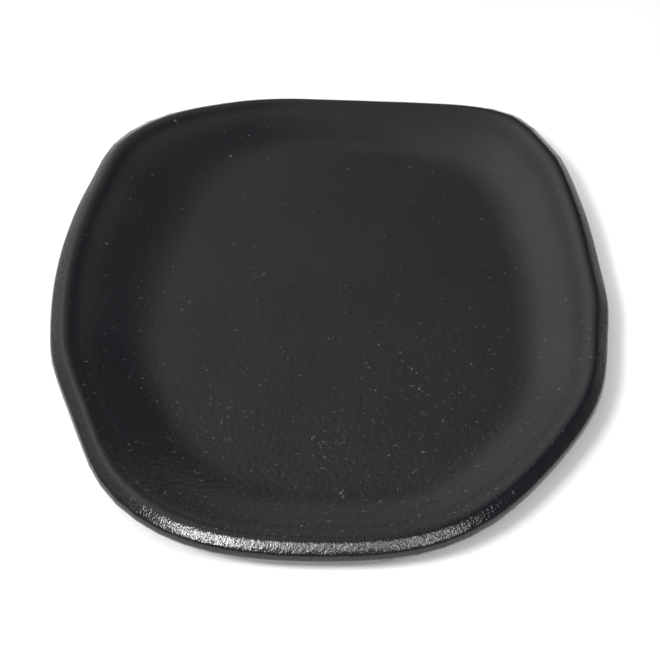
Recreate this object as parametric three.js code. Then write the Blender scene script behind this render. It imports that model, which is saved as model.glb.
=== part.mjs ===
// Rectangular platter: a thick slab of stoneware pressed into a shallow dish, with a soft outline that
// was eased by hand. It is glazed matte black, apart from the foot ring that it was fired on.
// Millimetres, +Z up. The origin is on the table under the middle of the platter, and the long side
// runs along Y.

import * as THREE from "three";

// Plan
const LENGTH = 300; // long side of the slab, before its edge was eased
const WIDTH = 256; // short side of the slab, before its edge was eased
const SQUARENESS = 2.7; // exponent of the outline: 2 is an ellipse, and more is boxier
const FLOOR_LENGTH = 216; // long side of the flat floor
const FLOOR_WIDTH = 154; // short side of the flat floor
const FLOOR_MIDDLE = new THREE.Vector2(5, 3); // the floor lies a little to the far right
const FLOOR_EASE = 0.35; // share of the rim's easing that the floor's edge follows

// Section
const RIM_RUN = 50; // from the outline in to the floor's edge, where the section is as drawn
const HEIGHT = 21.5; // crest of the rim above the table, halfway along a side
const CORNER_LIFT = 1; // how much higher the crest is at the corners
const FLOOR_LEVEL = 10.5; // serving floor above the table
const FOOT_HEIGHT = 3.5; // foot ring below the underside
const FOOT_INSET = 54; // from the outline in to the outer root of the foot ring
const FOOT_LAND = 3.6; // flat width of the foot ring, which stands on the table
const FOOT_ROUND = 1; // rounding along both edges of the land
const FOOT_DRAFT = 1.4; // how far each side of the foot ring leans

// Glaze
const GLAZE = 0.6; // thickness of the fired coat
const BOND = 0.3; // gap that stands for the bond between coat and clay

// Facets
const SECTORS = 80;
const FLOOR_RINGS = 1;
const FOOT_STEPS = 2;

// Where the potter's hand pushed the edge out or pressed it in: the angle from +X and the reach to
// either side in degrees, and the push in millimetres
const PUSHES = [
  { name: "right bulge", angle: -2, reach: 9, out: 2.5 },
  { name: "right shoulder", angle: 35, reach: 6, out: -1.5 },
  { name: "far right flat", angle: 46, reach: 6, out: -5 },
  { name: "far right corner", angle: 50, reach: 15, out: 13.9 },
  { name: "far side dip", angle: 78, reach: 13, out: -1.5 },
  { name: "far side swell", angle: 105, reach: 11, out: 1.5 },
  { name: "far left corner", angle: 126, reach: 11, out: 6 },
  { name: "far left shoulder", angle: 136, reach: 7, out: 3.5 },
  { name: "left knuckle", angle: 151, reach: 4, out: 0.5 },
  { name: "left swell", angle: 173, reach: 15, out: 1.2 },
  { name: "left bead", angle: 197, reach: 5, out: 0.6 },
  { name: "near left corner", angle: 218, reach: 19, out: -9.1 },
  { name: "near left knuckle", angle: 228, reach: 8, out: 1.1 },
  { name: "near side swell", angle: 281, reach: 17, out: 1 },
  { name: "near right corner", angle: 311, reach: 21, out: -12.1 },
  { name: "right waist", angle: 351, reach: 16, out: -2 },
];

// The same for the edge of the flat floor, on top of the share that it takes from the rim
const FLOOR_PUSHES = [
  { name: "far left slope", angle: 140, reach: 22, out: -5 },
  { name: "near left flat", angle: 207, reach: 18, out: 5 },
  { name: "near right flat", angle: 327, reach: 16, out: 5 },
];

// Knots of the glazed section, from the floor out over the rim and back under to the foot ring. Each
// has an inset from the outline, a level above the table, and the heading in degrees of a line that
// follows the section: 0 runs outwards and 90 runs up. steps counts the facets on the way to it.
const KNOTS = [
  { name: "floor edge", inset: RIM_RUN, level: FLOOR_LEVEL, heading: 0 },
  { name: "slope of the wall", inset: 27, level: 15, heading: 21, steps: 5 },
  { name: "shelf inside the lip", inset: 13, level: 19.4, heading: 11, steps: 3 },
  { name: "crest of the lip", inset: 7.3, level: HEIGHT, heading: 0, steps: 3 },
  { name: "brow of the lip", inset: 4.6, level: 20.8, heading: -31, steps: 2 },
  { name: "shoulder of the lip", inset: 1.2, level: 18.4, heading: -44, steps: 1 },
  { name: "side of the lip", inset: 0.3, level: 17, heading: -80, steps: 2 },
  { name: "widest place", inset: 0, level: 14.8, heading: -90, steps: 2 },
  { name: "under the lip", inset: 6, level: 11.1, heading: -172, steps: 3 },
  { name: "foot root", inset: FOOT_INSET, level: FOOT_HEIGHT, heading: -180, steps: 3 },
];
const HANDLE = 0.4; // length of a knot's handles, as a share of the span

const smooth = (t) => THREE.MathUtils.smoothstep(t, 0, 1);

// Plan outlines

// How far a list of pushes moves an edge out at an angle
function easing(pushes, angle) {
  const degrees = THREE.MathUtils.radToDeg(angle);
  return pushes.reduce((sum, push) => {
    const away = THREE.MathUtils.euclideanModulo(degrees - push.angle + 180, 360) - 180;
    return sum + push.out * Math.exp(-((away / push.reach) ** 2));
  }, 0);
}

// Radius at an angle of a rounded rectangle
function slabRadius(angle, width, length) {
  const across = Math.abs((2 * Math.cos(angle)) / width) ** SQUARENESS;
  const along = Math.abs((2 * Math.sin(angle)) / length) ** SQUARENESS;
  return (across + along) ** (-1 / SQUARENESS);
}

const outwards = (angle) => new THREE.Vector2(Math.cos(angle), Math.sin(angle));

function rimPoint(angle) {
  const radius = slabRadius(angle, WIDTH, LENGTH) + easing(PUSHES, angle);
  return outwards(angle).multiplyScalar(radius);
}

function floorPoint(angle, inside = 0) {
  const eased = FLOOR_EASE * easing(PUSHES, angle) + easing(FLOOR_PUSHES, angle);
  const radius = slabRadius(angle, FLOOR_WIDTH, FLOOR_LENGTH) + eased - inside;
  return outwards(angle).multiplyScalar(radius).add(FLOOR_MIDDLE);
}

// The lip keeps its width all round, and the wall is as wide as the two outlines leave it
function planPoint(inset, angle) {
  if (inset > RIM_RUN) return floorPoint(angle, inset - RIM_RUN);
  const rim = rimPoint(angle);
  const floor = floorPoint(angle);
  const run = rim.distanceTo(floor);
  const along = inset + (run - RIM_RUN) * smooth(inset / RIM_RUN);
  return rim.lerp(floor, along / run);
}

function liftAt(inset, angle) {
  const corner = Math.sin(2 * angle) ** 2;
  return CORNER_LIFT * corner * smooth(1 - inset / RIM_RUN);
}

// Rings of points around the platter

const angles = Array.from({ length: SECTORS }, (_, i) => (2 * Math.PI * i) / SECTORS);

const outlineBox = new THREE.Box2().setFromPoints(angles.map(rimPoint));
const middle = outlineBox.getCenter(new THREE.Vector2());
const pole = FLOOR_MIDDLE.clone().sub(middle);

// The ring at one station of the section, drawn in towards the floor's middle by share
function ringAt({ x: inset, y: level }, share = 1) {
  return angles.map((angle) => {
    const plan = planPoint(inset, angle).sub(middle);
    const drawn = pole.clone().lerp(plan, share);
    return new THREE.Vector3(drawn.x, drawn.y, level + liftAt(inset, angle));
  });
}

// Rings of a flat panel between its middle and its edge, from the inside out
function panelRings(edge) {
  const shares = Array.from({ length: FLOOR_RINGS }, (_, i) => (i + 1) / (FLOOR_RINGS + 1));
  return shares.map((share) => ringAt(edge, share));
}

// Section stations

function handleOf(knot, span) {
  const turn = THREE.MathUtils.degToRad(knot.heading);
  return new THREE.Vector2(-Math.cos(turn), Math.sin(turn)).multiplyScalar(HANDLE * span);
}

function spanBetween(from, to) {
  const start = new THREE.Vector2(from.inset, from.level);
  const end = new THREE.Vector2(to.inset, to.level);
  const span = start.distanceTo(end);
  const leave = start.clone().add(handleOf(from, span));
  const arrive = end.clone().sub(handleOf(to, span));
  return new THREE.CubicBezierCurve(start, leave, arrive, end).getPoints(to.steps).slice(1);
}

function glazedStations() {
  const edge = new THREE.Vector2(KNOTS[0].inset, KNOTS[0].level);
  return [edge, ...KNOTS.slice(1).flatMap((knot, i) => spanBetween(KNOTS[i], knot))];
}

// The bare foot ring, from its outer side across the land to its inner side
function footStations() {
  const landStart = FOOT_INSET + FOOT_DRAFT + FOOT_ROUND;
  const landEnd = landStart + FOOT_LAND;
  const foot = new THREE.Path();
  foot.moveTo(landStart - FOOT_ROUND, FOOT_ROUND);
  foot.quadraticCurveTo(landStart - FOOT_ROUND, 0, landStart, 0);
  foot.lineTo(landEnd, 0);
  foot.quadraticCurveTo(landEnd + FOOT_ROUND, 0, landEnd + FOOT_ROUND, FOOT_ROUND);
  return foot.getPoints(FOOT_STEPS);
}

// Solids

// A closed solid lofted through rings, from a pole in the middle of the first to one in the last
function loft(rings) {
  const poleOf = (ring) => new THREE.Vector3(pole.x, pole.y, ring[0].z);
  const points = [poleOf(rings[0]), ...rings.flat(), poleOf(rings.at(-1))];
  const place = (ring, sector) => 1 + ring * SECTORS + (sector % SECTORS);
  const faces = [];
  for (let sector = 0; sector < SECTORS; sector++) {
    faces.push(0, place(0, sector), place(0, sector + 1));
    for (let ring = 0; ring + 1 < rings.length; ring++) {
      const near = [place(ring, sector), place(ring, sector + 1)];
      const far = [place(ring + 1, sector), place(ring + 1, sector + 1)];
      faces.push(near[0], far[0], far[1], near[0], far[1], near[1]);
    }
    const last = rings.length - 1;
    faces.push(place(last, sector), points.length - 1, place(last, sector + 1));
  }
  const solid = new THREE.BufferGeometry().setFromPoints(points);
  solid.setIndex(faces);
  solid.computeVertexNormals();
  return solid;
}

// The rings of the finished platter, from the middle of the floor to the middle of the base
const outside = glazedStations();
const foot = footStations();
const baseEdge = new THREE.Vector2(foot.at(-1).x + FOOT_DRAFT, FOOT_HEIGHT);
const glazedRings = [...panelRings(outside[0]), ...outside.map((station) => ringAt(station))];
const bareRings = foot.map((station) => ringAt(station));
const baseRings = [ringAt(baseEdge), ...panelRings(baseEdge).reverse()];
const finished = loft([...glazedRings, ...bareRings, ...baseRings]);

// The same rings pressed into the platter along its normals, where first counts rings from the floor
function sunk(rings, first, depth) {
  const normals = finished.getAttribute("normal");
  const normal = new THREE.Vector3();
  return rings.map((ring, i) =>
    ring.map((point, sector) => {
      normal.fromBufferAttribute(normals, 1 + (first + i) * SECTORS + sector);
      return point.clone().addScaledVector(normal, -depth);
    }),
  );
}
const baseFirst = glazedRings.length + bareRings.length;

// Clay slab with its foot ring, thinner by the glaze wherever it is glazed
function stonewareBody() {
  const underGlaze = sunk(glazedRings, 0, GLAZE + BOND);
  const underBase = sunk(baseRings, baseFirst, GLAZE + BOND);
  return loft([...underGlaze, ...bareRings, ...underBase]);
}

// Coat over the floor, wall, lip and underside, as far as the root of the foot ring
function glazeCoat() {
  return loft([...glazedRings, ...sunk(glazedRings, 0, GLAZE).reverse()]);
}

// Coat on the base inside the foot ring
function baseGlaze() {
  return loft([...sunk(baseRings, baseFirst, GLAZE).reverse(), ...baseRings]);
}

// Finishes

const mattBlackGlaze = () => new THREE.MeshStandardMaterial({ color: 0x1e1e20, roughness: 0.5 });
const bareStoneware = () => new THREE.MeshStandardMaterial({ color: 0x8b8074, roughness: 0.9 });

function piece(name, geometry, material) {
  const mesh = new THREE.Mesh(geometry, material);
  mesh.name = name;
  return mesh;
}

const platter = new THREE.Group();
platter.name = "rectangular_platter";
platter.add(
  piece("stoneware_body", stonewareBody(), bareStoneware()),
  piece("glaze_coat", glazeCoat(), mattBlackGlaze()),
  piece("base_glaze", baseGlaze(), mattBlackGlaze()),
);

export default platter;
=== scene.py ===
"""Dresses a rectangular stoneware platter: its matte black glaze, its bare foot ring, and the studio."""

import math

import bmesh
import bpy
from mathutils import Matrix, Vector


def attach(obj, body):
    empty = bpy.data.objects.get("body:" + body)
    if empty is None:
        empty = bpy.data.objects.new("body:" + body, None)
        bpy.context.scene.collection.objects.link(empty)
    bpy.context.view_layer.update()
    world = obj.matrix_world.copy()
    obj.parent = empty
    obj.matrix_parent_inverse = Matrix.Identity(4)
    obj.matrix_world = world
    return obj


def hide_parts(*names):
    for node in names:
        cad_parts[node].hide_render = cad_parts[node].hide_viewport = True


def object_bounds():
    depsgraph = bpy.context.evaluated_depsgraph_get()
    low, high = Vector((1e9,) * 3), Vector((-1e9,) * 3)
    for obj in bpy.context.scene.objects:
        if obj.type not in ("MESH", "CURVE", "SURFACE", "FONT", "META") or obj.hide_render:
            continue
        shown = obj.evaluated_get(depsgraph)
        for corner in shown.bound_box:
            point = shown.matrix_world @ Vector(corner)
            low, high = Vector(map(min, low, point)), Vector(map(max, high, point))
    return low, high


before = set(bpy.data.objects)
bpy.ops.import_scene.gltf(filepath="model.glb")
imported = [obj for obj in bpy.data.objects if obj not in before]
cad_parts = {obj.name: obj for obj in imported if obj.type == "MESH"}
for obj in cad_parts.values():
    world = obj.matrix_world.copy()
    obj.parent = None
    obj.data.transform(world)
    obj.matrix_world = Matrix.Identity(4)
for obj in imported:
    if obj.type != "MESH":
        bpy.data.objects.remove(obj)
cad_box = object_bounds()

bl_info = {
    "name": "Rectangular platter",
    "version": (1, 0, 0),
    "blender": (4, 5, 0),
    "location": "3D View > Sidebar > Platter",
    "description": "Glazes a hand-shaped stoneware platter and sets it in a plain studio",
    "category": "Object",
}

MM = 0.001
PICTURE_SIDE = 660  # pixels on each side of the square picture
SENSOR = 36 * MM  # width of the camera's sensor
FLOOR_CLEARANCE = 0.1 * MM  # keeps the floor from sharing a plane with the foot ring
ROUND_LEVELS = 2  # subdivisions that turn the facets into a smooth skin
MERGE = 0.001 * MM  # corners of the loose triangles that are one point
POLE_EDGES = 12  # edges at a corner that make it the pole of a loft
LIP_STARTS = 0.05  # cosine between the skin's normal and straight outwards where the lip starts
LIP_WHOLE = 0.3  # and where it is all lip


def linear(code):
    """Turn an sRGB hex colour into the linear values that shaders take."""
    shares = [int(code[i : i + 2], 16) / 255 for i in (1, 3, 5)]
    return tuple(s / 12.92 if s <= 0.04045 else ((s + 0.055) / 1.055) ** 2.4 for s in shares)


def add(tree, kind, inputs=None, **settings):
    """Add a node to a tree with its settings, and set or link its inputs."""
    node = tree.nodes.new(kind)
    for name, value in settings.items():
        setattr(node, name, value)
    for name, value in (inputs or {}).items():
        if isinstance(value, bpy.types.NodeSocket):
            tree.links.new(value, node.inputs[name])
        else:
            node.inputs[name].default_value = value
    return node


def towards(azimuth, elevation):
    """Direction at an azimuth from +X and an elevation over the horizon, both in degrees."""
    around = math.radians(azimuth)
    up = math.radians(elevation)
    return Vector((math.cos(up) * math.cos(around), math.cos(up) * math.sin(around), math.sin(up)))


# Settings


class GlazeSettings(bpy.types.PropertyGroup):
    """The matte black glaze and the marks of the hand under it."""

    colour: bpy.props.FloatVectorProperty(
        name="Colour",
        description="Colour of the glaze where it lies thickest",
        subtype="COLOR",
        min=0,
        max=1,
        default=linear("#1b1b1f"),
    )
    thin_colour: bpy.props.FloatVectorProperty(
        name="Thin colour",
        description="Colour of the glaze where it lies thinner",
        subtype="COLOR",
        min=0,
        max=1,
        default=linear("#1f1f23"),
    )
    # The pale ticks that this colours are painted glints, standing in for lamps caught on the glaze's tooth
    painted_glint_colour: bpy.props.FloatVectorProperty(
        name="Fleck colour",
        description="Colour of the mineral flecks that float up in the glaze",
        subtype="COLOR",
        min=0,
        max=1,
        default=linear("#909094"),
    )
    roughness: bpy.props.FloatProperty(
        name="Roughness",
        description="Roughness of the fired surface between the flecks",
        subtype="FACTOR",
        min=0,
        max=1,
        default=0.28,
    )
    cloud_size: bpy.props.FloatProperty(
        name="Cloud size",
        description="Width of the clouds where the poured coat lies thicker or thinner",
        unit="LENGTH",
        default=38 * MM,
    )
    curl_size: bpy.props.FloatProperty(
        name="Curl size",
        description="Size of the curls that the flecks and the fine tooth follow",
        unit="LENGTH",
        default=2.6 * MM,
    )
    painted_glint_spacing: bpy.props.FloatProperty(
        name="Fleck spacing",
        description="Spacing of the places where a curl may show as a fleck",
        unit="LENGTH",
        default=2.2 * MM,
    )
    patch_size: bpy.props.FloatProperty(
        name="Patch size",
        description="Width of the patches in which the flecks gather",
        unit="LENGTH",
        default=24 * MM,
    )
    tooth_depth: bpy.props.FloatProperty(
        name="Tooth depth",
        description="Depth of the fine tooth of the surface",
        unit="LENGTH",
        default=0.25 * MM,
    )
    dab_size: bpy.props.FloatProperty(
        name="Dab size",
        description="Width of a dab of the glaze, along the lip",
        unit="LENGTH",
        default=0.9 * MM,
    )
    dab_depth: bpy.props.FloatProperty(
        name="Dab depth",
        description="Depth of the dabs on the lip",
        unit="LENGTH",
        default=0.23 * MM,
    )
    hollow_size: bpy.props.FloatProperty(
        name="Hollow size",
        description="Width of the hollows that fingers left in the clay",
        unit="LENGTH",
        default=24 * MM,
    )
    hollow_depth: bpy.props.FloatProperty(
        name="Hollow depth",
        description="Depth of the finger hollows",
        unit="LENGTH",
        default=0.35 * MM,
    )
    ripple_size: bpy.props.FloatProperty(
        name="Ripple size",
        description="Width of the small ripples left by the tool that smoothed the clay",
        unit="LENGTH",
        default=9 * MM,
    )
    ripple_depth: bpy.props.FloatProperty(
        name="Ripple depth",
        description="Depth of the small ripples",
        unit="LENGTH",
        default=0.02 * MM,
    )


class ClaySettings(bpy.types.PropertyGroup):
    """The bare stoneware of the foot ring."""

    colour: bpy.props.FloatVectorProperty(
        name="Colour",
        description="Colour of the fired clay",
        subtype="COLOR",
        min=0,
        max=1,
        default=linear("#8b8074"),
    )
    grit_colour: bpy.props.FloatVectorProperty(
        name="Grit colour",
        description="Colour of the iron grit in the clay",
        subtype="COLOR",
        min=0,
        max=1,
        default=linear("#4c4137"),
    )
    grit_size: bpy.props.FloatProperty(
        name="Grit size",
        description="Spacing of the grit in the clay",
        unit="LENGTH",
        default=1.4 * MM,
    )
    sand_size: bpy.props.FloatProperty(
        name="Sand size",
        description="Size of the grains of sand in the clay",
        unit="LENGTH",
        default=0.9 * MM,
    )
    sand_depth: bpy.props.FloatProperty(
        name="Sand depth",
        description="Height of the grains of sand",
        unit="LENGTH",
        default=0.15 * MM,
    )


class StageSettings(bpy.types.PropertyGroup):
    """The camera, the floor and the light dome."""

    elevation: bpy.props.FloatProperty(
        name="Elevation",
        description="Height of the camera over the horizon",
        subtype="ANGLE",
        default=math.radians(45),
    )
    distance: bpy.props.FloatProperty(
        name="Distance",
        description="Distance from the camera to the point that it looks at",
        unit="LENGTH",
        default=762 * MM,
    )
    focal_pixels: bpy.props.FloatProperty(
        name="Focal length in pixels",
        description="Focal length of the camera in pixels of the square picture",
        default=1677,
    )
    aim: bpy.props.FloatVectorProperty(
        name="Aim",
        description="Point that the camera looks at",
        subtype="TRANSLATION",
        default=(0.2 * MM, -19.7 * MM, 15.4 * MM),
    )
    floor_colour: bpy.props.FloatVectorProperty(
        name="Floor colour",
        description="Colour of the studio floor",
        subtype="COLOR",
        min=0,
        max=1,
        default=(0.93, 0.93, 0.93),
    )
    floor_glow: bpy.props.FloatProperty(
        name="Floor glow",
        description="What the camera and reflections see on the floor beyond the light that falls on it",
        default=0.18,
    )
    dome: bpy.props.FloatProperty(
        name="Dome",
        description="Strength of the light dome, as a share of what its soft spots say",
        default=1.0,
    )
    horizon: bpy.props.FloatProperty(
        name="Horizon",
        description="Strength of the pale band round the horizon, where 1 is white",
        default=0.38,
    )
    horizon_height: bpy.props.FloatProperty(
        name="Horizon height",
        description="Sine of the elevation at which the pale band has faded out",
        default=0.5,
    )


# Meshes


def turn(edge):
    """Angle that an edge turns round the platter's middle."""
    start, end = (corner.co.xy for corner in edge.verts)
    return abs(start.angle_signed(end))


def diagonals(work):
    """Find the edges that split the quads of a loft, ring by ring from one of its two poles."""
    poles = {corner for corner in work.verts if len(corner.link_edges) >= POLE_EDGES}
    front = [min(poles, key=lambda corner: corner.index)]
    ring = dict.fromkeys(front, 0)
    while front:
        reached = {edge.other_vert(corner) for corner in front for edge in corner.link_edges}
        front = [corner for corner in reached if corner not in ring]
        ring.update(dict.fromkeys(front, len(set(ring.values()))))
    # Between two rings lie the loft's own lines and the diagonals, which turn further round the middle
    across = {
        edge
        for edge in work.edges
        if ring[edge.verts[0]] != ring[edge.verts[1]] and not poles.intersection(edge.verts)
    }
    return [
        edge
        for edge in work.edges
        if edge in across
        and all(
            edge is max((side for side in face.edges if side in across), key=turn) for face in edge.link_faces
        )
    ]


def quad_copy(node):
    """Copy a CAD node's mesh, merge its loose triangles and pair them into quads."""
    mesh = bpy.data.meshes.new(node)
    work = bmesh.new()
    work.from_mesh(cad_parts[node].data)
    bmesh.ops.remove_doubles(work, verts=work.verts, dist=MERGE)
    work.verts.index_update()
    bmesh.ops.dissolve_edges(work, edges=diagonals(work))
    work.to_mesh(mesh)
    work.free()
    mesh.materials.clear()
    return mesh


def skin_tree():
    """Build the node tree that rounds a faceted skin and presses the marks of the hand into it."""
    tree = bpy.data.node_groups.new("Hand-worked skin", "GeometryNodeTree")
    sockets = {
        "Geometry": "Geometry",
        "Clay": "Object",
        "Skin": "Float",
        "Levels": "Int",
        "Hollow depth": "Float",
        "Hollow size": "Float",
        "Ripple depth": "Float",
        "Ripple size": "Float",
        "Seed": "Float",
        "Material": "Material",
    }
    for name, kind in sockets.items():
        tree.interface.new_socket(name, in_out="INPUT", socket_type="NodeSocket" + kind)
    tree.interface.new_socket("Geometry", in_out="OUTPUT", socket_type="NodeSocketGeometry")
    given = add(tree, "NodeGroupInput").outputs
    rounded = add(
        tree,
        "GeometryNodeSubdivisionSurface",
        {"Mesh": given["Geometry"], "Level": given["Levels"]},
    )
    # Only the face that is seen is pressed in: the one against the clay lies nearer than the skin's depth
    clay = add(tree, "GeometryNodeObjectInfo", {"Object": given["Clay"]})
    near = add(tree, "GeometryNodeProximity", {0: clay.outputs["Geometry"]})
    seen = add(
        tree,
        "FunctionNodeCompare",
        {0: near.outputs["Distance"], 1: given["Skin"]},
        operation="GREATER_THAN",
    )
    place = add(tree, "GeometryNodeInputPosition").outputs[0]
    depth = None
    for mark in ("Hollow", "Ripple"):
        scale = add(tree, "ShaderNodeMath", {0: 1.0, 1: given[mark + " size"]}, operation="DIVIDE")
        noise = add(
            tree,
            "ShaderNodeTexNoise",
            {"Vector": place, "W": given["Seed"], "Scale": scale.outputs[0], "Detail": 1.0},
            noise_dimensions="4D",
        )
        deep = add(
            tree,
            "ShaderNodeMath",
            {0: noise.outputs[0], 1: given[mark + " depth"], 2: depth or 0.0},
            operation="MULTIPLY_ADD",
        )
        depth = deep.outputs[0]
    inwards = add(tree, "ShaderNodeMath", {0: depth, 1: -1.0}, operation="MULTIPLY")
    press = add(
        tree,
        "ShaderNodeVectorMath",
        {0: add(tree, "GeometryNodeInputNormal").outputs[0], "Scale": inwards.outputs[0]},
        operation="SCALE",
    )
    pressed = add(
        tree,
        "GeometryNodeSetPosition",
        {"Geometry": rounded.outputs[0], "Selection": seen.outputs[0], "Offset": press.outputs[0]},
    )
    # The lip is where the skin faces out from the platter's middle
    level = add(tree, "ShaderNodeVectorMath", {0: place, 1: (1, 1, 0)}, operation="MULTIPLY")
    out = add(tree, "ShaderNodeVectorMath", {0: level.outputs[0]}, operation="NORMALIZE")
    facing = add(
        tree,
        "ShaderNodeVectorMath",
        {0: add(tree, "GeometryNodeInputNormal").outputs[0], 1: out.outputs[0]},
        operation="DOT_PRODUCT",
    )
    lip = add(
        tree,
        "ShaderNodeMapRange",
        {"Value": facing.outputs["Value"], "From Min": LIP_STARTS, "From Max": LIP_WHOLE},
    )
    marked = add(
        tree,
        "GeometryNodeStoreNamedAttribute",
        {"Geometry": pressed.outputs[0], "Name": "Lip", "Value": lip.outputs[0]},
    )
    smooth = add(tree, "GeometryNodeSetShadeSmooth", {"Geometry": marked.outputs[0]})
    real = add(tree, "GeometryNodeRealizeInstances", {"Geometry": smooth.outputs[0]})
    done = add(
        tree,
        "GeometryNodeSetMaterial",
        {"Geometry": real.outputs[0], "Material": given["Material"]},
    )
    add(tree, "NodeGroupOutput", {"Geometry": done.outputs[0]})
    return tree


def dress(name, node, slot, material, **values):
    """Make the piece that stands for a CAD node, through the skin tree, and seat it on the frame."""
    piece = bpy.data.objects.new(name, quad_copy(node))
    bpy.context.scene.collection.objects.link(piece)
    tree = bpy.data.node_groups.get("Hand-worked skin") or skin_tree()
    skin = piece.modifiers.new("Hand-worked skin", "NODES")
    skin.node_group = tree
    values.update({"Levels": ROUND_LEVELS, "Material": material})
    for socket in tree.interface.items_tree:
        if socket.in_out == "INPUT" and socket.name in values:
            skin[socket.identifier] = values[socket.name]
    graph = bpy.context.evaluated_depsgraph_get()
    piece.data = bpy.data.meshes.new_from_object(piece.evaluated_get(graph))
    piece.data.name = name
    piece.modifiers.clear()
    if not piece.data.polygons:
        raise RuntimeError(f"{name} came out empty")
    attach(piece, "root")
    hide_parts(node)
    return piece


# Materials

NEAR_FROM = 60 * MM  # place along Y from which the texture deepens and the painted glints grow denser towards the near end
NEAR_TO = -110 * MM  # place along Y where both are richest
NEAR_LEAST = 0.1  # share of the texture and the painted glints that the far end keeps
CLOUD_THICK = 0.3  # level of the cloud pattern where the coat is thickest
CLOUD_THIN = 0.7  # level of the cloud pattern where the coat is thinnest
CLOUD_GLOSS = 0.02  # change of roughness from the middle of the clouds to either end
LIP_GLOSS = 0.08  # drop of roughness on the lip
LINE_WIDTH = 0.02  # half the width of a painted glint's line, in levels of the curl pattern
PAINTED_GLINT_RARE = 0.74  # level that a place must pass to show a painted glint, where they are rare
PAINTED_GLINT_RICH = 0.65  # the same where they are rich
RICHEST = 0.6  # level of the patches from which painted glints are rich
PAINTED_GLINT_RISE = 0.16  # rise over that level at which a painted glint is as pale as it gets
WELL_DABS = 0.4  # depth of the dabs in the well, as a share of those on the lip
DAB_DRAW = 0.4  # pace of the dabs' pattern across the lip, so that they are 2.5 times as long there
DAB_RING = 80 * MM  # radius of the ring that makes up their pace along the lip
LIP_TOOTH = 0.4  # share of the fine tooth that the lip keeps


def new_material(name):
    """Start an empty node material and return it with its tree."""
    material = bpy.data.materials.new(name)
    material.use_nodes = True
    material.node_tree.nodes.clear()
    return material, material.node_tree


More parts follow.
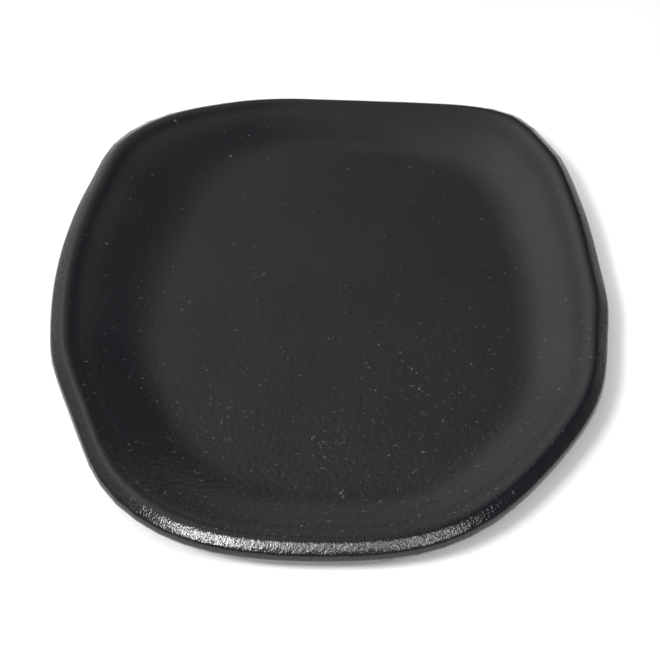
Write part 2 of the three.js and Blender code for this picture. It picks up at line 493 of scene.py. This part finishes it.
def fired_matte_black_glaze(look):
    """Matte black glaze, poured over the clay and fired."""
    # To the eye it is a satin black: lamps show in it as soft bands, which the dabs on the lip break up, and
    # short pale ticks of painted glints curl in it, most of all towards the near end
    material, tree = new_material("Fired matte black glaze")
    place = add(tree, "ShaderNodeTexCoord").outputs["Object"]
    lip = add(tree, "ShaderNodeAttribute", attribute_name="Lip").outputs["Fac"]
    along = add(tree, "ShaderNodeSeparateXYZ", {0: place}).outputs["Y"]
    # Towards the near end the tooth and the dabs are deeper and the painted glints are denser
    nearness = add(
        tree,
        "ShaderNodeMapRange",
        {"Value": along, "From Min": NEAR_FROM, "From Max": NEAR_TO, "To Min": NEAR_LEAST},
    ).outputs[0]
    # Clouds where the poured coat lies thicker or thinner
    clouds = add(
        tree,
        "ShaderNodeTexNoise",
        {"Vector": place, "Scale": 1 / look.cloud_size, "Detail": 3.0, "Roughness": 0.55},
    ).outputs[0]
    thin = add(
        tree,
        "ShaderNodeMapRange",
        {"Value": clouds, "From Min": CLOUD_THICK, "From Max": CLOUD_THIN},
    )
    coat = add(
        tree,
        "ShaderNodeMix",
        {"Factor": thin.outputs[0], "A": (*look.colour, 1), "B": (*look.thin_colour, 1)},
        data_type="RGBA",
    )
    # Painted glints: short pale curled ticks, where a contour of one pattern crosses the peaks of another
    curl = add(
        tree,
        "ShaderNodeTexNoise",
        {"Vector": place, "Scale": 1 / look.curl_size, "Detail": 2.0},
    )
    off = add(tree, "ShaderNodeMath", {0: curl.outputs[0], 1: 0.5}, operation="SUBTRACT")
    wide = add(tree, "ShaderNodeMath", {0: off.outputs[0]}, operation="ABSOLUTE")
    line = add(
        tree,
        "ShaderNodeMapRange",
        {"Value": wide.outputs[0], "From Min": LINE_WIDTH, "From Max": 0.0},
    )
    peaks = add(
        tree,
        "ShaderNodeTexNoise",
        {"Vector": place, "W": 5.0, "Scale": 1 / look.painted_glint_spacing, "Detail": 0.0},
        noise_dimensions="4D",
    )
    gathered = add(
        tree,
        "ShaderNodeTexNoise",
        {"Vector": place, "Scale": 1 / look.patch_size, "Detail": 1.0},
    )
    rich = add(tree, "ShaderNodeMath", {0: gathered.outputs[0], 1: nearness}, operation="MULTIPLY")
    bar = add(
        tree,
        "ShaderNodeMapRange",
        {"Value": rich.outputs[0], "From Max": RICHEST, "To Min": PAINTED_GLINT_RARE, "To Max": PAINTED_GLINT_RICH},
    )
    over = add(tree, "ShaderNodeMath", {0: peaks.outputs[0], 1: bar.outputs[0]}, operation="SUBTRACT")
    short = add(tree, "ShaderNodeMapRange", {"Value": over.outputs[0], "From Max": PAINTED_GLINT_RISE})
    tick = add(tree, "ShaderNodeMath", {0: line.outputs[0], 1: short.outputs[0]}, operation="MULTIPLY")
    # No painted glints show on the lip, where the dabs take their place
    inner = add(tree, "ShaderNodeMath", {0: 1.0, 1: lip}, operation="SUBTRACT")
    painted_glint = add(tree, "ShaderNodeMath", {0: tick.outputs[0], 1: inner.outputs[0]}, operation="MULTIPLY")
    # Pale colour painted into the ticks stands in for glints of the lamps on the tooth
    colour = add(
        tree,
        "ShaderNodeMix",
        {"Factor": painted_glint.outputs[0], "A": coat.outputs["Result"], "B": (*look.painted_glint_colour, 1)},
        data_type="RGBA",
    )
    # Roughness drifts with the clouds, and the lip is glassier, because the coat ran thin there
    rough = add(
        tree,
        "ShaderNodeMapRange",
        {
            "Value": clouds,
            "From Min": CLOUD_THICK,
            "From Max": CLOUD_THIN,
            "To Min": look.roughness - CLOUD_GLOSS,
            "To Max": look.roughness + CLOUD_GLOSS,
        },
    )
    glassy = add(
        tree,
        "ShaderNodeMath",
        {0: lip, 1: -LIP_GLOSS, 2: rough.outputs[0]},
        operation="MULTIPLY_ADD",
    )
    # Dabs drawn out across the lip, where they are deepest
    faint = add(tree, "ShaderNodeMath", {0: nearness, 1: WELL_DABS}, operation="MULTIPLY")
    strength = add(tree, "ShaderNodeMath", {0: faint.outputs[0], 1: lip}, operation="MAXIMUM")
    level = add(tree, "ShaderNodeVectorMath", {0: place, 1: (1, 1, 0)}, operation="MULTIPLY")
    out = add(tree, "ShaderNodeVectorMath", {0: level.outputs[0]}, operation="NORMALIZE")
    ring = add(tree, "ShaderNodeVectorMath", {0: out.outputs[0], "Scale": DAB_RING}, operation="SCALE")
    drawn = add(
        tree,
        "ShaderNodeVectorMath",
        {0: place, 1: (DAB_DRAW, DAB_DRAW, DAB_DRAW), 2: ring.outputs[0]},
        operation="MULTIPLY_ADD",
    )
    dabs = add(
        tree,
        "ShaderNodeTexNoise",
        {"Vector": drawn.outputs[0], "Scale": 1 / look.dab_size, "Detail": 2.0, "Roughness": 0.6},
    )
    # A fine tooth from the pattern that curls the painted glints, held back on the lip
    held = add(tree, "ShaderNodeMath", {0: lip, 1: LIP_TOOTH - 1, 2: 1.0}, operation="MULTIPLY_ADD")
    tooth = add(tree, "ShaderNodeMath", {0: nearness, 1: held.outputs[0]}, operation="MULTIPLY")
    toothed = add(
        tree,
        "ShaderNodeBump",
        {"Strength": tooth.outputs[0], "Height": curl.outputs[0], "Distance": look.tooth_depth},
    )
    dabbed = add(
        tree,
        "ShaderNodeBump",
        {
            "Strength": strength.outputs[0],
            "Height": dabs.outputs[0],
            "Distance": look.dab_depth,
            "Normal": toothed.outputs[0],
        },
    )
    glaze = add(
        tree,
        "ShaderNodeBsdfPrincipled",
        {
            "Base Color": colour.outputs["Result"],
            "Roughness": glassy.outputs[0],
            "IOR": 1.5,
            "Normal": dabbed.outputs[0],
        },
    )
    add(tree, "ShaderNodeOutputMaterial", {"Surface": glaze.outputs[0]})
    return material


def bare_fired_stoneware(look):
    """Bare stoneware, wiped clean of glaze and fired."""
    # To the eye it is a dry, sandy clay with no sheen, dotted with dark iron grit
    material, tree = new_material("Bare fired stoneware")
    place = add(tree, "ShaderNodeTexCoord").outputs["Object"]
    grit = add(tree, "ShaderNodeTexVoronoi", {"Vector": place, "Scale": 1 / look.grit_size})
    dot = add(
        tree,
        "ShaderNodeMapRange",
        {"Value": grit.outputs["Distance"], "From Min": 0.3, "From Max": 0.15},
    )
    sand = add(
        tree,
        "ShaderNodeTexNoise",
        {"Vector": place, "Scale": 1 / look.sand_size, "Detail": 3.0, "Roughness": 0.6},
    )
    pick = add(tree, "ShaderNodeSeparateColor", {"Color": grit.outputs["Color"]})
    speck = add(
        tree,
        "ShaderNodeMath",
        {0: dot.outputs[0], 1: pick.outputs[0]},
        operation="MULTIPLY",
    )
    colour = add(
        tree,
        "ShaderNodeMix",
        {"Factor": speck.outputs[0], "A": (*look.colour, 1), "B": (*look.grit_colour, 1)},
        data_type="RGBA",
    )
    sandy = add(tree, "ShaderNodeBump", {"Height": sand.outputs[0], "Distance": look.sand_depth})
    clay = add(
        tree,
        "ShaderNodeBsdfPrincipled",
        {
            "Base Color": colour.outputs["Result"],
            "Roughness": 0.9,
            "IOR": 1.5,
            "Normal": sandy.outputs[0],
        },
    )
    add(tree, "ShaderNodeOutputMaterial", {"Surface": clay.outputs[0]})
    return material


def studio_floor(look):
    """Plain pale studio floor, white to the eye and clear from below so that the underside can be seen."""
    material, tree = new_material("Painted studio floor")
    paint = add(tree, "ShaderNodeBsdfDiffuse", {"Color": (*look.floor_colour, 1)})
    ray = add(tree, "ShaderNodeLightPath").outputs
    seen = ray["Is Camera Ray"]
    for kind in ("Is Glossy Ray", "Is Transmission Ray"):
        seen = add(tree, "ShaderNodeMath", {0: seen, 1: ray[kind]}, operation="MAXIMUM").outputs[0]
    glow = add(tree, "ShaderNodeMath", {0: seen, 1: look.floor_glow}, operation="MULTIPLY")
    white = add(tree, "ShaderNodeEmission", {"Strength": glow.outputs[0]})
    bright = add(tree, "ShaderNodeAddShader", {0: paint.outputs[0], 1: white.outputs[0]})
    clear = add(tree, "ShaderNodeBsdfTransparent")
    side = add(tree, "ShaderNodeNewGeometry").outputs["Backfacing"]
    both = add(tree, "ShaderNodeMixShader", {0: side, 1: bright.outputs[0], 2: clear.outputs[0]})
    add(tree, "ShaderNodeOutputMaterial", {"Surface": both.outputs[0]})
    return material


# Operators


class PLATTER_OT_stage(bpy.types.Operator):
    """Set the camera, the lamps, the light dome and the floor"""

    bl_idname = "platter.stage"
    bl_label = "Stage"

    # Azimuth from +X and elevation in degrees, size in metres, and the light that each puts on the
    # floor, where 1 in all shows a colour as it is written
    LAMPS = {
        "left_lamp": {"azimuth": 231, "elevation": 50, "size": (0.4, 0.28), "light": 0.48},
        "front_softbox": {"azimuth": 262, "elevation": 58, "size": (1.0, 0.34), "light": 0.21},
        "right_lamp": {"azimuth": 309, "elevation": 48, "size": (0.24, 0.22), "light": 0.14},
    }
    LAMP_AWAY = 1.8  # metres from each lamp to the origin
    # Soft spots on the light dome: the middle as above, the reach in degrees from there to where the
    # spot has faded out, and the strength in the middle
    SPOTS = {
        "back_left": {"azimuth": 138, "elevation": 33, "reach": 32, "strength": 0.78},
        "back": {"azimuth": 118, "elevation": 49, "reach": 32, "strength": 0.4},
        "back_low": {"azimuth": 108, "elevation": 22, "reach": 30, "strength": 0.38},
        "back_high": {"azimuth": 82, "elevation": 56, "reach": 24, "strength": 0.22},
        "top_left": {"azimuth": 162, "elevation": 66, "reach": 36, "strength": 0.8},
        "left": {"azimuth": 168, "elevation": 40, "reach": 28, "strength": 0.35},
    }
    SPOT_FADE = 1.5  # power of the fading: more draws a spot in towards its middle
    FLOOR_HALF = 4.0  # metres from the middle of the floor to its sides

    def execute(self, context):
        look = context.scene.platter_stage
        self.camera(context.scene, look)
        for name, lamp in self.LAMPS.items():
            self.softbox(context.scene, name, **lamp)
        self.dome(context.scene, look)
        context.scene.view_settings.view_transform = "Standard"
        self.floor(context.scene, look)
        return {"FINISHED"}

    def camera(self, scene, look):
        """Look down on the platter from the front."""
        lens = bpy.data.cameras.new("camera")
        lens.sensor_width = SENSOR / MM
        lens.lens = SENSOR / MM * look.focal_pixels / PICTURE_SIDE
        camera = bpy.data.objects.new("camera", lens)
        back = Vector((0, -math.cos(look.elevation), math.sin(look.elevation)))
        camera.location = Vector(look.aim) + look.distance * back
        camera.rotation_euler = (-back).to_track_quat("-Z", "Y").to_euler()
        scene.collection.objects.link(camera)
        scene.camera = camera

    def dome(self, scene, look):
        """Light the world with a pale band round the horizon and the soft spots."""
        world = bpy.data.worlds.new("Light dome")
        world.use_nodes = True
        tree = world.node_tree
        tree.nodes.clear()
        ray = add(tree, "ShaderNodeTexCoord").outputs["Generated"]
        up = add(tree, "ShaderNodeSeparateXYZ", {0: ray}).outputs["Z"]
        strength = add(
            tree,
            "ShaderNodeMapRange",
            {"Value": up, "From Max": look.horizon_height, "To Min": look.horizon, "To Max": 0.0},
            interpolation_type="SMOOTHSTEP",
        ).outputs[0]
        for spot in self.SPOTS.values():
            middle = towards(spot["azimuth"], spot["elevation"])
            edge = math.cos(math.radians(spot["reach"]))
            near = add(tree, "ShaderNodeVectorMath", {0: ray, 1: middle}, operation="DOT_PRODUCT")
            lit = add(tree, "ShaderNodeMapRange", {"Value": near.outputs["Value"], "From Min": edge})
            soft = add(tree, "ShaderNodeMath", {0: lit.outputs[0], 1: self.SPOT_FADE}, operation="POWER")
            strength = add(
                tree,
                "ShaderNodeMath",
                {0: soft.outputs[0], 1: look.dome * spot["strength"], 2: strength},
                operation="MULTIPLY_ADD",
            ).outputs[0]
        sky = add(tree, "ShaderNodeBackground", {"Color": (1, 1, 1, 1), "Strength": strength})
        add(tree, "ShaderNodeOutputWorld", {"Surface": sky.outputs[0]})
        scene.world = world

    def softbox(self, scene, name, azimuth, elevation, size, light):
        """Hang an area lamp that faces the origin and puts the given light on the floor there."""
        lamp = bpy.data.lights.new(name, "AREA")
        lamp.shape = "RECTANGLE"
        lamp.size, lamp.size_y = size
        direction = towards(azimuth, elevation)
        lamp.energy = light * (math.pi * self.LAMP_AWAY) ** 2 / direction.z
        softbox = bpy.data.objects.new(name, lamp)
        softbox.location = self.LAMP_AWAY * direction
        softbox.rotation_euler = (-direction).to_track_quat("-Z", "Y").to_euler()
        scene.collection.objects.link(softbox)

    def floor(self, scene, look):
        """Lay the studio floor just under the foot ring."""
        mesh = bpy.data.meshes.new("studio_floor")
        work = bmesh.new()
        bmesh.ops.create_grid(work, x_segments=1, y_segments=1, size=self.FLOOR_HALF)
        bmesh.ops.translate(work, verts=work.verts, vec=(0, 0, cad_box[0].z - FLOOR_CLEARANCE))
        work.to_mesh(mesh)
        work.free()
        mesh.materials.append(studio_floor(look))
        floor = bpy.data.objects.new("studio_floor", mesh)
        scene.collection.objects.link(floor)


class PLATTER_OT_glaze(bpy.types.Operator):
    """Lay the two coats of glaze: over the top and outside, and on the base inside the foot ring"""

    bl_idname = "platter.glaze"
    bl_label = "Glaze"

    COATS = {"glazed_skin": "glaze_coat", "glazed_base": "base_glaze"}
    SEEN_FROM_CLAY = 0.6 * MM  # between the coat's two faces, which lie 0.3 and 0.9 mm from the clay

    def execute(self, context):
        look = context.scene.platter_glaze
        material = fired_matte_black_glaze(look)
        for seed, (name, node) in enumerate(self.COATS.items()):
            dress(
                name,
                node,
                "matte_black_glaze",
                material,
                **{
                    "Clay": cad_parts["stoneware_body"],
                    "Skin": self.SEEN_FROM_CLAY,
                    "Hollow depth": look.hollow_depth,
                    "Hollow size": look.hollow_size,
                    "Ripple depth": look.ripple_depth,
                    "Ripple size": look.ripple_size,
                    "Seed": float(seed),
                },
            )
        return {"FINISHED"}


class PLATTER_OT_clay(bpy.types.Operator):
    """Round the clay body, which shows on the foot ring"""

    bl_idname = "platter.clay"
    bl_label = "Clay"

    def execute(self, context):
        material = bare_fired_stoneware(context.scene.platter_clay)
        dress("clay_body", "stoneware_body", "bare_stoneware", material)
        return {"FINISHED"}


class PLATTER_PT_sidebar(bpy.types.Panel):
    """The platter's steps and settings"""

    bl_idname = "PLATTER_PT_sidebar"
    bl_label = "Platter"
    bl_space_type = "VIEW_3D"
    bl_region_type = "UI"
    bl_category = "Platter"

    def draw(self, context):
        for step in STEPS:
            self.layout.operator(step.bl_idname)
        for group in SETTINGS:
            settings = getattr(context.scene, group)
            for name in settings.__annotations__:
                self.layout.prop(settings, name)


SETTINGS = {
    "platter_stage": StageSettings,
    "platter_glaze": GlazeSettings,
    "platter_clay": ClaySettings,
}
STEPS = (PLATTER_OT_stage, PLATTER_OT_glaze, PLATTER_OT_clay)


def register():
    """Register the settings, the steps and the panel."""
    for settings in SETTINGS.values():
        bpy.utils.register_class(settings)
    for step in STEPS:
        bpy.utils.register_class(step)
    bpy.utils.register_class(PLATTER_PT_sidebar)
    for name, settings in SETTINGS.items():
        setattr(bpy.types.Scene, name, bpy.props.PointerProperty(type=settings))


def unregister():
    """Take them all away again."""
    for name in SETTINGS:
        delattr(bpy.types.Scene, name)
    bpy.utils.unregister_class(PLATTER_PT_sidebar)
    for made in (*reversed(STEPS), *reversed(SETTINGS.values())):
        bpy.utils.unregister_class(made)


def main():
    """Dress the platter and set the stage."""
    register()
    bpy.ops.platter.stage()
    bpy.ops.platter.glaze()
    bpy.ops.platter.clay()


if __name__ == "__main__":
    main()
